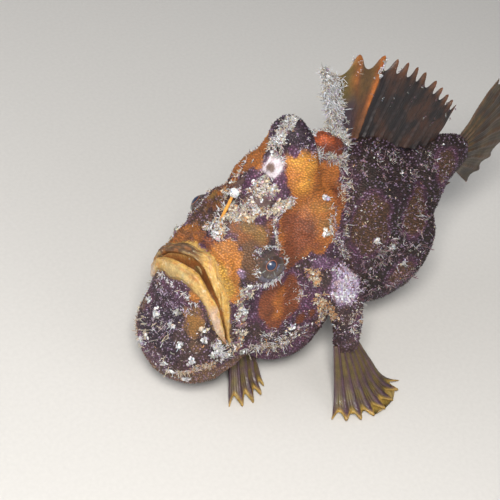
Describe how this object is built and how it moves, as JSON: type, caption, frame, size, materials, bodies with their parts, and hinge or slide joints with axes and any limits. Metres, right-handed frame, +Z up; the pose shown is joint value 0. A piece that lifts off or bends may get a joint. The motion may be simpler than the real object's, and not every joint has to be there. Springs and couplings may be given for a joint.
{
  "type": "frogfish",
  "caption": "Life-size frogfish resting on its hand-like fins, with a steep mouth, a lure on a rod, stout back spines, rayed fins and a shaggy, warty skin.",
  "frame": {"origin": "under the middle of the whole animal's box, on the floor it rests on", "axes": "-X towards the snout, +X towards the tail, -Y to the animal's left side, +Z up"},
  "size_m": [0.1222, 0.0772, 0.078],
  "materials": {
    "skin": "matte, granular, with skin filaments",
    "chin_skin": "matte, granular, with skin filaments",
    "lip_skin": "smooth, slightly wet",
    "fin": "matte membrane over raised rays",
    "eye": "clear wet gloss",
    "rod": "smooth",
    "lure": "soft, tufted"
  },
  "bodies": {
    "root": {"head": "skin", "lower_jaw": "chin_skin", "upper_lip": "lip_skin", "lower_lip": "lip_skin", "torso": "skin", "tail_stalk": "skin", "eye_left": "eye", "eye_right": "eye", "lure_rod": "rod", "lure": "lure", "second_dorsal_spine": "chin_skin", "third_dorsal_spine": "chin_skin", "soft_dorsal_fin": "fin", "caudal_fin": "fin", "anal_fin": "fin", "pectoral_arm_left": "chin_skin", "pectoral_arm_right": "chin_skin", "pectoral_fin_left": "fin", "pectoral_fin_right": "fin", "pelvic_fin_left": "fin", "pelvic_fin_right": "fin"}
  },
  "joints": []
}
